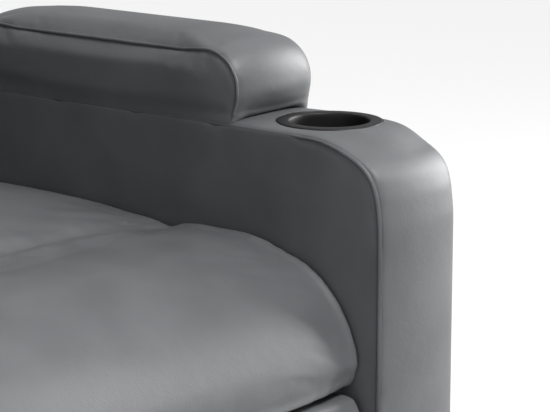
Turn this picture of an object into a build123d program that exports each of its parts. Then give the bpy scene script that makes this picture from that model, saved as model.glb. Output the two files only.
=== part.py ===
# Massage recliner with padded arms, cup holders, a two-section seat and a lever footrest.
# Frame: +Z up, the sitter faces -Y, +X is the sitter's left, origin on the floor below the middle.
import math
import os

from build123d import *

os.makedirs("parts", exist_ok=True)

# Overall room between and around the arms
seat_width = 520.0
arm_width = 133.0
arm_front = -438.5
arm_rear = 340.0
arm_bottom = 40.0
arm_top = 557.0
arm_panel = 6.0
arm_foam = 14.0
front_crown = 11.5
top_crown = 4.0
front_roll = 24.0
top_roll = 13.0
rear_roll = 14.0
bend_drop = 82.0
brow_reach = 19.0
brow_drop = 26.5
cheek_reach = 97.0
back_corner = 30.0
outer_edge = 14.0
board_thickness = 15.0
soft_gap = 0.3

# Arm pads and cup holders
pad_front = -263.0
pad_rear = 115.0
pad_height = 73.0
pad_crown = 8.0
pad_inner_inset = 1.0
pad_outer_inset = 14.0
pad_corner = 42.0
pad_foot = 11.0
pad_heel = 22.0
pad_side_rise = 0.6
pad_middle_rise = 3.6
cup_place = -325.0
cup_flange_radius = 52.5
cup_bore_radius = 39.0
cup_depth = 82.0
cup_wall = 2.5
cup_flange = 3.0
cup_clearance = 3.0

# Feet
foot_radius = 25.0
foot_inset = 45.0
foot_screw_radius = 4.0
foot_screw_head = 8.0
foot_recess = 12.0
bolt_radius = 4.0
bolt_head = 8.0
bolt_places = (-280.0, -60.0, 110.0)

# Steel layers of the mechanism, counted inwards from the arm
steel = 4.0
layer_gap = 1.5
pin_radius = 5.0
running = 0.06
link_half_width = 11.0
plate_height = 42.0
plate_overhang = 15.0
follower_eye = 18.0
back_eye = 22.0

# Footrest linkage: two stacked parallelograms, so every link turns by the same angle
drive_pivot = (-220.0, 335.0)
drive_length = 230.0
drive_tail = 45.0
drive_rest_angle = -105.0
follower_offset = 70.0
carrier_pivot = (-345.0, 215.0)
shaft_radius = 9.0

# Footrest
footrest_side_gap = 8.0
footrest_board_gap = 4.0
footrest_board_rear = -365.0
footrest_low = 68.0
footrest_high = 317.0
footrest_thickness = 46.0
footrest_crown = 14.0
footrest_roll = 34.0
footrest_draw = 3.0
footrest_board_margin = 10.0
footrest_screw_inset = 25.0
footrest_flange = 34.0
footrest_screw_radius = 2.5

# Seat
tube_size = 20.0
front_tube = -320.0
rear_tube = 50.0
tube_top = 355.0
seat_rail = 22.0
seat_rail_height = 30.0
seat_frame_gap = 7.0
seat_frame_front = -380.0
seat_frame_rear = 100.0
wire_radius = 1.8
spring_count = 5
spring_spacing = 80.0
spring_half_swing = 22.0
spring_pitch = 50.0
spring_bend = 11.0
seat_side_gap = 2.0
seat_front_side = -418.0
seat_front_middle = -432.0
seat_low = 322.0
seat_side_height = 457.0
seat_middle_height = 466.0
seat_roll = 60.0
seat_tuck = 12.0
seat_channel = -173.0
seat_channel_depth = 10.0
seat_channel_reach = 68.0
seat_rear = 122.0

# Backrest, modelled upright about its pivot and then leaned back
back_pivot = (200.0, 330.0)
back_lean = 15.0
back_pin_radius = 7.0
stile_width = 26.0
back_frame_front = -12.0
back_frame_depth = 32.0
back_frame_low = -60.0
back_frame_high = 660.0
back_rail_height = 40.0
back_rails = (-60.0, 150.0, 390.0, 620.0)
lumbar = (60.0, 299.0)
upper_back = (303.0, 497.0)
head = (501.0, 700.0)
lumbar_side_gap = 6.0
wing_reach = 22.0
cushion_depth = 88.0
lumbar_bulge = 104.0
head_bulge = 112.0
back_cover_rear = 72.2
back_cover_panel = 8.0
back_cover_low = -60.0
back_cover_wing = 138.0
back_cover_high = 700.0
back_cover_side = 5.0
pillow_edge = 26.0
pillow_draw = 10.0

# Massage motors
motor_half_width = 30.0
motor_size = 36.0
motor_wall = 3.0
motor_axle_radius = 2.5
motor_weight_radius = 12.0
motor_spread = 110.0

# Rear rail, control box, lever, pocket and handset
rear_rail_front = 300.0
rear_rail_thickness = 22.0
rear_rail_low = 60.0
rear_rail_high = 290.0
control_half_width = 70.0
control_depth = 48.0
control_low = 80.0
control_high = 150.0
inlet_radius = 6.0
inlet_depth = 12.0
stand_out = 24.0
lever_length = 120.0
lever_thickness = 14.0
lever_half_width = 12.0
lever_hub_radius = 18.0
lever_rest_angle = -8.0
bezel_radius = 34.0
bezel_thickness = 3.0
pocket_front = -150.0
pocket_rear = 60.0
pocket_low = 300.0
pocket_high = 415.0
pocket_wall = 2.5
handset_width = 52.0
handset_height = 190.0
handset_thickness = 17.0
handset_wall = 2.0
handset_front = 0.0
handset_play = 1.5
button_radius = 7.0
button_spacing = 26.0
button_top_margin = 20.0
button_rim = 1.5
button_depth = 1.8
button_proud = 1.6
button_clearance = 0.2

# Places worked out from the driving sizes
arm_inner = seat_width / 2
arm_outer = arm_inner + arm_width
arm_middle = (arm_inner + arm_outer) / 2
boxing_inner = arm_inner + arm_panel
boxing_outer = arm_outer - arm_panel
plate_out = arm_inner - 0.5
plate_in = plate_out - steel
drive_out = plate_in - layer_gap
drive_in = drive_out - steel
carrier_out = drive_in - layer_gap
carrier_in = carrier_out - steel
bracket_out = carrier_in - layer_gap
bracket_in = bracket_out - steel
footrest_half_width = arm_inner - footrest_side_gap
footrest_board_half_width = bracket_in - footrest_board_gap
seat_frame_half_width = bracket_in - seat_frame_gap
cushion_half_width = arm_inner - seat_side_gap
lumbar_half_width = arm_inner - lumbar_side_gap
wing_half_width = arm_inner + wing_reach


def turned(angle, length):
    """A step of that length in the side view, with the angle counted from straight ahead upwards."""
    return (-length * math.cos(math.radians(angle)), length * math.sin(math.radians(angle)))


def shifted(point, step):
    return (point[0] + step[0], point[1] + step[1])


knee = shifted(drive_pivot, turned(drive_rest_angle, drive_length))
drive_end = shifted(drive_pivot, turned(drive_rest_angle, drive_length + drive_tail))
carrier_run = math.hypot(carrier_pivot[0] - knee[0], carrier_pivot[1] - knee[1])
carrier_step = tuple((knee[i] - carrier_pivot[i]) / carrier_run * follower_offset for i in range(2))
follower_knee = shifted(knee, carrier_step)
follower_pivot = shifted(drive_pivot, carrier_step)
tilt_pivot = shifted(carrier_pivot, (drive_end[0] - knee[0], drive_end[1] - knee[1]))


def save(name, *solids):
    """Writes one node from its separate solids."""
    export_step(solids[0] if len(solids) == 1 else Compound(children=list(solids)), f"parts/{name}.step")


def block(x, y, z):
    """A box between two limits on each axis."""
    return Pos(sum(x) / 2, sum(y) / 2, sum(z) / 2) * Box(x[1] - x[0], y[1] - y[0], z[1] - z[0])


def rod(x, point, radius):
    """A round bar across the chair at a point of the side view."""
    return Pos(sum(x) / 2, *point) * Rot(0, 90, 0) * Cylinder(radius, x[1] - x[0])


def side_plate(sketch, x):
    """A flat plate cut to a side-view sketch, between two X limits."""
    return extrude(Plane.YZ.offset(x[0]) * sketch, amount=x[1] - x[0])


def side_face(x, edges):
    """A closed side-view outline as a face at that X."""
    return Plane.YZ.offset(x) * make_face(edges)


def bar(start, end, half_width):
    """Side-view outline of a round-ended steel link."""
    run = math.hypot(end[0] - start[0], end[1] - start[1])
    angle = math.degrees(math.atan2(end[1] - start[1], end[0] - start[0]))
    middle = Pos((start[0] + end[0]) / 2, (start[1] + end[1]) / 2)
    return middle * Rot(0, 0, angle) * SlotCenterToCenter(run, 2 * half_width)


def drilled(sketch, radius, *points):
    for point in points:
        sketch -= Pos(*point) * Circle(radius)
    return sketch


def other_side(solid):
    return mirror(solid, about=Plane.YZ)


def both(solid):
    return solid, other_side(solid)


# Arms
def arm_outline(forward, upward, backward=0.0):
    """Side view of an arm, its front, top and rear moved out from the seam, or in where negative."""
    front, top, rear = arm_front - forward, arm_top + upward, arm_rear + backward
    low, brow = (front, top - bend_drop), (front + brow_reach, top - brow_drop)
    cheek = (front + cheek_reach, top)
    bend = (front + 0.21 * brow_reach, top - brow_drop - 0.46 * (bend_drop - brow_drop))
    slope = (front + brow_reach + 0.487 * (cheek_reach - brow_reach), top - 0.3 * brow_drop)
    near = back_corner * (1 - math.sqrt(0.5))
    return [
        Line((rear, arm_bottom), (front, arm_bottom)),
        Line((front, arm_bottom), low),
        ThreePointArc(low, bend, brow),
        ThreePointArc(brow, slope, cheek),
        Line(cheek, (rear - back_corner, top)),
        ThreePointArc((rear - back_corner, top), (rear - near, top - near), (rear, top - back_corner)),
        Line((rear, top - back_corner), (rear, arm_bottom)),
    ]


cavity_front = arm_front + arm_foam
cavity_top = arm_top - arm_foam
cavity_rear = arm_rear - arm_foam
cavity_bevel = 55.0
side_in = boxing_inner + soft_gap
side_out = boxing_outer - soft_gap
between = (side_in + board_thickness, side_out - board_thickness)
outer_seam = arm_outline(-0.55 * front_roll, -0.45 * top_roll, -0.45 * rear_roll)


def arm_room(gap, edge):
    """Side view of the room in an arm, smaller by a gap all round and by an edge at its front and top."""
    front, top, rear = cavity_front + gap + edge, cavity_top - gap - 0.6 * edge, cavity_rear - gap
    points = [
        (front, arm_bottom),
        (front, top - cavity_bevel),
        (front + cavity_bevel, top),
        (rear, top),
        (rear, arm_bottom),
    ]
    return make_face(Polyline(*points, close=True))


def arm_strip():
    """The boxing strip over the front, top and rear of an arm, crowned and rolled off to the outside."""
    width = boxing_outer - boxing_inner
    sections = (
        (0.0, arm_outline(0, 0)),
        (0.22, arm_outline(0.7 * front_crown, 0.7 * top_crown)),
        (0.5, arm_outline(front_crown, top_crown)),
        (0.74, arm_outline(0.65 * front_crown, 0.8 * top_crown)),
        (0.9, arm_outline(-0.08 * front_roll, 0.04 * top_roll, -0.1 * rear_roll)),
        (1.0, outer_seam),
    )
    strip = loft([side_face(boxing_inner + share * width, outline) for share, outline in sections])
    room = side_plate(arm_room(0, 0), (boxing_inner, between[1]))
    return strip - room - side_plate(arm_room(0, outer_edge), (between[1], boxing_outer))


bolt_height = tube_top - plate_height / 2
bolt_points = [(place, bolt_height) for place in bolt_places]
bolts = [rod((plate_in, between[0]), point, bolt_radius) for point in bolt_points]
bolt_room = [rod((plate_in - 1, arm_middle - 20), point, bolt_radius + 0.1) for point in bolt_points]
bolt_heads = [rod((plate_in - steel, plate_in), point, bolt_head) for point in bolt_points]

panel = side_plate(make_face(arm_outline(0, 0)), (arm_inner, boxing_inner)) - bolt_room
outer_rim = arm_outline(-front_roll, -top_roll, -rear_roll)
outer_panel = loft([side_face(boxing_outer, outer_seam), side_face(arm_outer, outer_rim)])
cup_seat = arm_top + 0.5
cup_outer_radius = cup_bore_radius + cup_wall
cup_at = Pos(arm_middle, cup_place)
strip = arm_strip()
strip -= cup_at * Pos(0, 0, cup_seat) * Cylinder(cup_outer_radius + soft_gap, 4 * cup_depth)
strip -= cup_at * Pos(0, 0, cup_seat + cup_depth) * Cylinder(cup_flange_radius + soft_gap, 2 * cup_depth)

cup_room = cup_at * Pos(0, 0, cup_seat) * Cylinder(cup_outer_radius + cup_clearance, 4 * cup_depth)
inner_board = side_plate(arm_room(soft_gap, 0), (side_in, between[0])) - bolt_room - cup_room
outer_board = side_plate(arm_room(soft_gap, outer_edge), (between[1], side_out)) - cup_room
frame_front = cavity_front + soft_gap
frame_rear = cavity_rear - soft_gap
frame_top = cavity_top - soft_gap
inside_length = (frame_front + board_thickness, frame_rear - board_thickness)
bottom_board = block(between, inside_length, (arm_bottom, arm_bottom + board_thickness))
front_board = block(between, (frame_front, inside_length[0]), (arm_bottom, frame_top - cavity_bevel))
rear_board = block(between, (inside_length[1], frame_rear), (arm_bottom, frame_top))
top_board_front = cup_place + cup_outer_radius + board_thickness
top_board = block(between, (top_board_front, inside_length[1]), (frame_top - board_thickness, frame_top))

foot_places = [(arm_middle, arm_front + foot_inset), (arm_middle, arm_rear - foot_inset)]
screw_room = [
    Pos(*place, arm_bottom) * Cylinder(foot_screw_radius + 0.1, 4 * board_thickness) for place in foot_places
]
bottom_board -= screw_room
arm_boards = [inner_board, outer_board, bottom_board, front_board, rear_board, top_board]

lever_hole = rod((-arm_outer - 1, -arm_inner + 1), drive_pivot, shaft_radius + 3)
save("left_arm_frame", *arm_boards)
save("left_arm_cover", panel, outer_panel, strip)
save("right_arm_frame", *[other_side(board) - lever_hole for board in arm_boards])
save("right_arm_cover", *[other_side(piece) - lever_hole for piece in (panel, outer_panel, strip)])


# Arm pads
def pad_outline(swell, rise):
    """Side view of an arm pad: round at its upper front, leaning in a little to its foot."""
    low = arm_top + rise
    top, front, rear = arm_top + pad_height + pad_crown * swell, pad_front - pad_crown * swell, pad_rear
    foot = (pad_front + pad_foot, low)
    belly = (front + 0.36 * pad_foot, low + 1.1 * pad_foot)
    bend = pad_corner * (1 - math.sqrt(0.5))
    heel_bend = pad_heel * (1 - math.sqrt(0.5))
    return [
        Line((rear, low), foot),
        ThreePointArc(foot, belly, (front, top - pad_corner)),
        ThreePointArc((front, top - pad_corner), (front + bend, top - bend), (front + pad_corner, top)),
        Line((front + pad_corner, top), (rear - pad_heel, top)),
        ThreePointArc((rear - pad_heel, top), (rear - heel_bend, top - heel_bend), (rear, top - pad_heel)),
        Line((rear, top - pad_heel), (rear, low)),
    ]


pad_in = arm_inner + pad_inner_inset
pad_out = arm_outer - pad_outer_inset
side_rise = pad_side_rise
middle_rise = top_crown + soft_gap + 0.2
pad_sections = (
    (0.0, 0.0, side_rise),
    (0.25, 0.75, pad_middle_rise),
    (0.5, 1.0, middle_rise),
    (0.75, 0.75, middle_rise),
    (1.0, 0.0, 2 * side_rise),
)
pad = loft(
    [
        side_face(pad_in + share * (pad_out - pad_in), pad_outline(swell, rise))
        for share, swell, rise in pad_sections
    ]
)
save("left_arm_pad", pad)
save("right_arm_pad", other_side(pad))

# Cup holders
flange_low = cup_seat + soft_gap
flange_high = flange_low + cup_flange
cup_floor = flange_high - cup_depth
throat = 4.0
cup_section = Polyline(
    (0, cup_floor - cup_wall),
    (cup_outer_radius, cup_floor - cup_wall),
    (cup_outer_radius, flange_low),
    (cup_flange_radius, flange_low),
    (cup_flange_radius, flange_high),
    (cup_bore_radius + throat, flange_high),
    (cup_bore_radius, flange_high - throat),
    (cup_bore_radius, cup_floor),
    (0, cup_floor),
    close=True,
)
cup = cup_at * revolve(Plane.XZ * make_face(cup_section), Axis.Z)
save("left_cup_holder", cup)
save("right_cup_holder", other_side(cup))

# Feet
foot = Cone(foot_radius - 4, foot_radius, arm_bottom, align=(Align.CENTER, Align.CENTER, Align.MIN))
foot -= Cylinder(foot_screw_radius + 0.1, 200)
foot -= Cylinder(foot_screw_head + 1, 2 * foot_recess)
screw_length = arm_bottom + board_thickness - foot_recess
low_end = (Align.CENTER, Align.CENTER, Align.MIN)
screw = Pos(0, 0, foot_recess) * Cylinder(foot_screw_radius, screw_length, align=low_end)
screw += Pos(0, 0, foot_recess - 4) * Cylinder(foot_screw_head, 4, align=low_end)
corners = [Pos(side * x, y) for x, y in foot_places for side in (1, -1)]
save("feet", *[corner * foot for corner in corners])
save("foot_screws", *[corner * screw for corner in corners])

# Side plates of the mechanism, their bolts and the tubes between them
plate_low = tube_top - plate_height
plate_span = (front_tube - plate_overhang, back_pivot[0] + back_eye)
plate_sketch = Pos(sum(plate_span) / 2, (plate_low + tube_top) / 2) * Rectangle(
    plate_span[1] - plate_span[0], tube_top - plate_low
)
plate_sketch += Pos(*follower_pivot) * Circle(follower_eye)
plate_sketch += Pos(*back_pivot) * Circle(back_eye)
plate_sketch = drilled(plate_sketch, shaft_radius + running, drive_pivot)
plate_sketch = drilled(plate_sketch, pin_radius, follower_pivot)
plate_sketch = drilled(plate_sketch, back_pin_radius, back_pivot)
plate_sketch = drilled(plate_sketch, bolt_radius + 0.1, *bolt_points)
plate = side_plate(plate_sketch, (plate_in, plate_out))
save("left_side_plate", plate)
save("right_side_plate", other_side(plate))
headed = [bolts[i] + bolt_heads[i] for i in range(len(bolts))]
save("frame_bolts", *headed, *[other_side(bolt) for bolt in headed])
follower_pin = rod((drive_in, plate_out), follower_pivot, pin_radius)
save("follower_pivot_pins", *both(follower_pin))
back_pin = rod((drive_in, plate_out), back_pivot, back_pin_radius)
save("back_pivot_pins", *both(back_pin))

tube_wall = 2.0


def cross_tube(place):
    outside = (place - tube_size / 2, place + tube_size / 2)
    inside = (outside[0] + tube_wall, outside[1] - tube_wall)
    tube = block((-plate_in, plate_in), outside, (tube_top - tube_size, tube_top))
    return tube - block(
        (-plate_in, plate_in), inside, (tube_top - tube_size + tube_wall, tube_top - tube_wall)
    )


save("seat_cross_tubes", cross_tube(front_tube), cross_tube(rear_tube))

# Links of the footrest mechanism
drive_sketch = bar(drive_pivot, drive_end, link_half_width) + Pos(*drive_pivot) * Circle(shaft_radius + 6)
drive_sketch = drilled(drilled(drive_sketch, shaft_radius, drive_pivot), pin_radius, knee, drive_end)
drive_link = side_plate(drive_sketch, (drive_in, drive_out))
save("left_drive_link", drive_link)
save("right_drive_link", other_side(drive_link))

follower_sketch = bar(follower_pivot, follower_knee, link_half_width)
follower_sketch = drilled(follower_sketch, pin_radius + running, follower_pivot, follower_knee)
follower_link = side_plate(follower_sketch, (drive_in, drive_out))
save("left_follower_link", follower_link)
save("right_follower_link", other_side(follower_link))

carrier_sketch = bar(follower_knee, carrier_pivot, link_half_width)
carrier_sketch = drilled(carrier_sketch, pin_radius + running, knee)
carrier_sketch = drilled(carrier_sketch, pin_radius, follower_knee, carrier_pivot)
carrier_link = side_plate(carrier_sketch, (carrier_in, carrier_out))
save("left_carrier_link", carrier_link)
save("right_carrier_link", other_side(carrier_link))

tilt_sketch = bar(drive_end, tilt_pivot, link_half_width)
tilt_sketch = drilled(tilt_sketch, pin_radius + running, drive_end, tilt_pivot)
tilt_link = side_plate(tilt_sketch, (carrier_in, carrier_out))
save("left_tilt_link", tilt_link)
save("right_tilt_link", other_side(tilt_link))

knee_pins = [rod((carrier_in, drive_out), point, pin_radius) for point in (knee, drive_end)]
save("drive_link_pins", *knee_pins, *[other_side(pin) for pin in knee_pins])
carrier_knee_pin = rod((carrier_in, drive_out), follower_knee, pin_radius)
carrier_end_pin = rod((bracket_in, carrier_out), carrier_pivot, pin_radius)
save("carrier_pins", *both(carrier_knee_pin), *both(carrier_end_pin))
save("footrest_pins", *both(rod((bracket_in, carrier_out), tilt_pivot, pin_radius)))

# Drive shaft and lever
lever_out = -arm_outer - stand_out
shaft = rod((lever_out + 4, plate_out), drive_pivot, shaft_radius)
save("drive_shaft", shaft)
lever_tip = shifted(drive_pivot, turned(lever_rest_angle, lever_length))
lever = side_plate(bar(drive_pivot, lever_tip, lever_half_width), (lever_out, lever_out + lever_thickness))
lever += rod((lever_out, -arm_outer - bezel_thickness - 1), drive_pivot, lever_hub_radius)
lever = fillet(lever.edges().group_by(Axis.X)[0], 3)
lever -= rod((lever_out + 4, -arm_outer), drive_pivot, shaft_radius)
save("recline_lever", lever)
bezel = rod((-arm_outer - bezel_thickness, -arm_outer), drive_pivot, bezel_radius)
bezel -= rod((-arm_outer - 10, -arm_outer + 10), drive_pivot, shaft_radius + 1)
save("lever_bezel", bezel)

# Seat frame and its springs
rail_span = (tube_top, tube_top + seat_rail_height)
rail_inner = seat_frame_half_width - seat_rail
rails = [
    block((-seat_frame_half_width, seat_frame_half_width), (end, end + seat_rail), rail_span)
    for end in (seat_frame_front, seat_frame_rear - seat_rail)
]
side_run = (seat_frame_front + seat_rail, seat_frame_rear - seat_rail)
side_rail = block((rail_inner, seat_frame_half_width), side_run, rail_span)
save("seat_frame", *rails, *both(side_rail))


def sinuous(length):
    """A zigzag wire laid along +Y from the origin, its cross runs turned back by tangent arcs."""
    count = 2 * round(length / spring_pitch / 2) + 1
    half = length / count
    corners = [(0, 0)]
    for i in range(count):
        side = spring_half_swing if i % 2 == 0 else -spring_half_swing
        corners += [(side, half * (i + 0.08)), (side, half * (i + 0.92))]
    corners.append((0, length))
    path = FilletPolyline(*corners, radius=min(spring_bend, 0.4 * half))
    start = Plane(path @ 0, z_dir=path % 0)
    return sweep(start * Circle(wire_radius), path=path)


spring_seat = tube_top + seat_rail_height + wire_radius + soft_gap
spring_run = (seat_frame_front + seat_rail / 2, seat_frame_rear - seat_rail / 2)
seat_spring = sinuous(spring_run[1] - spring_run[0])
spring_rows = [(i - (spring_count - 1) / 2) * spring_spacing for i in range(spring_count)]
save("seat_springs", *[Pos(x, spring_run[0], spring_seat) * seat_spring for x in spring_rows])

# Seat cushion: a front roll that hangs over the frame, a sewn channel and a rear section
seat_under = spring_seat + wire_radius + soft_gap
drape_back = seat_frame_front - 2


def seat_outline(swell):
    """Side view of the seat, from its end at the arm (0) to its crown in the middle (1)."""
    front = seat_front_side + (seat_front_middle - seat_front_side) * swell
    crest = seat_side_height + (seat_middle_height - seat_side_height) * swell
    rise = crest - seat_low
    roll = min(seat_roll, 0.885 * (crest - seat_under))
    tuck, nose = (front + seat_tuck, seat_low), (front, seat_low + 0.17 * rise)
    shoulder, top = (front + roll, crest - 0.21 * rise), (seat_channel - seat_channel_reach, crest)
    channel, rear = (seat_channel, crest - seat_channel_depth), (seat_rear, crest - 0.2 * seat_channel_depth)
    brow = (shoulder[0] + 0.45 * (top[0] - shoulder[0]), crest - 0.06 * rise)
    lap = (seat_channel - 0.35 * seat_channel_reach, crest - 0.15 * seat_channel_depth)
    rear_crown = (seat_channel + 0.45 * (seat_rear - seat_channel), crest - 0.05 * seat_channel_depth)
    return [
        Line((seat_rear, seat_under), (drape_back, seat_under)),
        Line((drape_back, seat_under), (drape_back, seat_low)),
        Line((drape_back, seat_low), tuck),
        ThreePointArc(tuck, (front + 0.2 * seat_tuck, seat_low + 0.6 * (nose[1] - seat_low)), nose),
        ThreePointArc(nose, (front + 0.3 * roll, crest - 0.51 * rise), shoulder),
        ThreePointArc(shoulder, brow, top),
        ThreePointArc(top, lap, channel),
        ThreePointArc(channel, rear_crown, rear),
        Line(rear, (seat_rear, seat_under)),
    ]


seat_sections = ((-1, 0.0), (-0.85, 0.62), (0, 1.0), (0.85, 0.62), (1, 0.0))
seat = loft([side_face(share * cushion_half_width, seat_outline(s)) for share, s in seat_sections])
save("seat_cushion", seat)

# Footrest
board_front = footrest_board_rear - board_thickness
footrest_middle = (footrest_low + footrest_high) / 2
board_span = (footrest_low + footrest_board_margin, footrest_high - footrest_board_margin)
screw_heights = (tilt_pivot[1] - footrest_screw_inset, carrier_pivot[1] + footrest_screw_inset)
flange_inner = bracket_in - footrest_flange
screw_line = (flange_inner + bracket_in) / 2
rest_screws = [
    Pos(side * screw_line, footrest_board_rear - steel, height)
    * Rot(90, 0, 0)
    * Cylinder(footrest_screw_radius, 4 * steel)
    for side in (1, -1)
    for height in screw_heights
]
rest_screw_room = [
    Pos(side * screw_line, footrest_board_rear, height)
    * Rot(90, 0, 0)
    * Cylinder(footrest_screw_radius + 0.1, 5 * board_thickness)
    for side in (1, -1)
    for height in screw_heights
]
board = block(
    (-footrest_board_half_width, footrest_board_half_width), (board_front, footrest_board_rear), board_span
)
save("footrest_board", board - rest_screw_room)
save("footrest_screws", *rest_screws)

flange_span = (screw_heights[0] - 14, screw_heights[1] + 14)
web = bar(tilt_pivot, carrier_pivot, 13)
web_reach = (footrest_board_rear, carrier_pivot[0])
web += Pos(sum(web_reach) / 2, sum(flange_span) / 2) * Rectangle(
    web_reach[1] - web_reach[0], flange_span[1] - flange_span[0]
)
web = drilled(drilled(web, pin_radius + running, carrier_pivot), pin_radius, tilt_pivot)
bracket = side_plate(web, (bracket_in, bracket_out))
bracket += block((flange_inner, bracket_in), (footrest_board_rear, footrest_board_rear + steel), flange_span)
bracket -= rest_screw_room
save("left_footrest_bracket", bracket)
save("right_footrest_bracket", other_side(bracket))


def footrest_outline(swell):
    """Side view of the footrest pad, flat on its board and crowned in front."""
    back = board_front - soft_gap
    front = back - footrest_thickness
    nose = front - footrest_crown * swell
    draw = footrest_draw * (1 - swell)
    low, high = footrest_low + draw, footrest_high - draw
    roll = footrest_roll
    edge, shoulder, face = front + 0.7 * roll, front + 0.15 * roll, front - 0.06 * roll
    return [
        Line((back, low), (back, high)),
        Line((back, high), (edge, high)),
        ThreePointArc((edge, high), (shoulder, high - 0.235 * roll), (face, high - roll)),
        ThreePointArc((face, high - roll), (nose - 0.09 * roll, footrest_middle), (face, low + roll)),
        ThreePointArc((face, low + roll), (shoulder, low + 0.235 * roll), (edge, low)),
        Line((edge, low), (back, low)),
    ]


rest_sections = ((-1, 0.0), (-0.86, 0.7), (0, 1.0), (0.86, 0.7), (1, 0.0))
rest = loft([side_face(share * footrest_half_width, footrest_outline(s)) for share, s in rest_sections])
save("footrest_cushion", rest)

# Backrest frame, leaned back about its pivot
lean = Pos(0, *back_pivot) * Rot(-back_lean, 0, 0)
back_half_width = drive_in
stile_inner = back_half_width - stile_width
frame_span = (back_frame_front, back_frame_front + back_frame_depth)
stile = block((stile_inner, back_half_width), frame_span, (back_frame_low, back_frame_high))
back_screw_heights = (40.0, 80.0, 118.0)
stile_middle = sum(frame_span) / 2
back_screw_points = [(stile_middle, height) for height in back_screw_heights]
back_screws = [rod((drive_out - 20, drive_out), point, 3) for point in back_screw_points]
back_screw_room = [rod((stile_inner - 1, drive_out + 1), point, 3.1) for point in back_screw_points]
stile -= back_screw_room
cross_rails = [
    block((-stile_inner, stile_inner), frame_span, (low, low + back_rail_height)) for low in back_rails
]
save("back_frame", *[lean * piece for piece in (*both(stile), *cross_rails)])
save("back_screws", *[lean * piece for screw in back_screws for piece in both(screw)])
plate_top = 132.0
hanger = Pos(0, plate_top / 2) * Rectangle(2 * 13, plate_top) + Circle(20)
hanger += Pos(stile_middle, 25 + (plate_top - 25) / 2) * Rectangle(back_frame_depth, plate_top - 25)
hanger = drilled(hanger, back_pin_radius + running, (0, 0))
back_bracket = side_plate(hanger, (drive_in, drive_out)) - back_screw_room
save("left_back_bracket", lean * back_bracket)
save("right_back_bracket", lean * other_side(back_bracket))

back_spring_run = (back_rails[1] + back_rail_height / 2, back_rails[3] + back_rail_height / 2)
back_spring = Rot(90, 0, 0) * sinuous(back_spring_run[1] - back_spring_run[0])
back_spring_place = back_frame_front - wire_radius - soft_gap
save(
    "back_springs",
    *[
        lean * Pos(x, back_spring_place, back_spring_run[0]) * back_spring
        for x in (-motor_spread, 0, motor_spread)
    ],
)

# Back cushions: rows of pillows, each drawn in at its sides and sewn edges
pillow_back = back_spring_place - wire_radius - soft_gap


def pillow(span, half_width, depth, bulge):
    """One back pillow between two heights, its front swelling to the bulge."""

    def outline(swell):
        draw = pillow_draw * (1 - swell)
        low, high = span[0] + draw, span[1] - draw
        reach = pillow_back - 0.864 * depth * (0.55 + 0.45 * swell)
        nose = reach - (bulge - depth) * swell - 0.045 * depth
        edge = pillow_back - pillow_edge
        roll = edge - reach
        bend = roll * (1 - math.sqrt(0.5))
        return [
            Line((pillow_back, span[0]), (pillow_back, span[1])),
            Line((pillow_back, span[1]), (edge, high)),
            ThreePointArc((edge, high), (reach + bend, high - bend), (reach, high - roll)),
            ThreePointArc((reach, high - roll), (nose, (low + high) / 2), (reach, low + roll)),
            ThreePointArc((reach, low + roll), (reach + bend, low + bend), (edge, low)),
            Line((edge, low), (pillow_back, span[0])),
        ]

    sections = ((-1, 0.0), (-0.84, 0.72), (0, 1.0), (0.84, 0.72), (1, 0.0))
    return lean * loft([side_face(share * half_width, outline(s)) for share, s in sections])


save("lumbar_cushion", pillow(lumbar, lumbar_half_width, cushion_depth, lumbar_bulge))
save("upper_back_cushion", pillow(upper_back, wing_half_width, cushion_depth, cushion_depth + 4))
save("head_cushion", pillow(head, wing_half_width, cushion_depth, head_bulge))

cover_in = back_half_width + soft_gap
cover_out = cover_in + back_cover_side
cover = block(
    (-cover_out, cover_out), (back_frame_front, back_cover_rear), (back_cover_low, back_cover_high)
)
cover = fillet(cover.edges().group_by(Axis.Y)[-1].sort_by(Axis.Z)[1:], 4)
cover -= block(
    (-cover_in, cover_in),
    (back_frame_front - 1, back_cover_rear - back_cover_panel),
    (back_cover_low - 1, back_cover_high - back_cover_panel),
)
cover -= block(
    (-cover_out - 1, cover_out + 1),
    (back_frame_front - 1, back_cover_rear - back_cover_panel),
    (back_cover_low - 1, back_cover_wing),
)
lip_front = pillow_back + soft_gap
lip_span = (back_cover_wing, back_cover_high)
lip = block((stile_inner, cover_out), (lip_front, back_frame_front - soft_gap), lip_span)
lip += block((cover_in, cover_out), (lip_front, back_frame_front + soft_gap), lip_span)
cover += [*both(lip)]
save("back_cover", lean * cover)

# Massage motors on the back of two rails, each with a loose-running weight
motor_front = back_frame_front + back_frame_depth
motor_middle = motor_front + motor_size / 2
motor_rails = (back_rails[1], back_rails[2])
motor_places = [
    (side * motor_spread, low + back_rail_height / 2) for low in motor_rails for side in (1, -1)
]
motor_bore = motor_size / 2 - motor_wall
housing = block(
    (-motor_half_width, motor_half_width),
    (motor_front, motor_front + motor_size),
    (-motor_size / 2, motor_size / 2),
)
housing -= rod((motor_wall - motor_half_width, motor_half_width - motor_wall), (motor_middle, 0), motor_bore)
housing -= rod((-motor_half_width, motor_half_width), (motor_middle, 0), motor_axle_radius + running)
save("motor_housings", *[lean * Pos(x, 0, z) * housing for x, z in motor_places])
weight = Circle(motor_weight_radius) - Pos(0, motor_weight_radius) * Rectangle(
    3 * motor_weight_radius, 2 * motor_weight_radius
)
weight_half = motor_half_width - motor_wall - 3
weight = side_plate(weight, (-weight_half, weight_half))
weight = Pos(0, motor_middle) * Rot(back_lean, 0, 0) * weight
rotor = weight + rod((-motor_half_width, motor_half_width), (motor_middle, 0), motor_axle_radius)
rotor_names = ("lumbar_left_rotor", "lumbar_right_rotor", "shoulder_left_rotor", "shoulder_right_rotor")
for i in range(len(rotor_names)):
    save(rotor_names[i], lean * Pos(motor_places[i][0], 0, motor_places[i][1]) * rotor)

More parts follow.
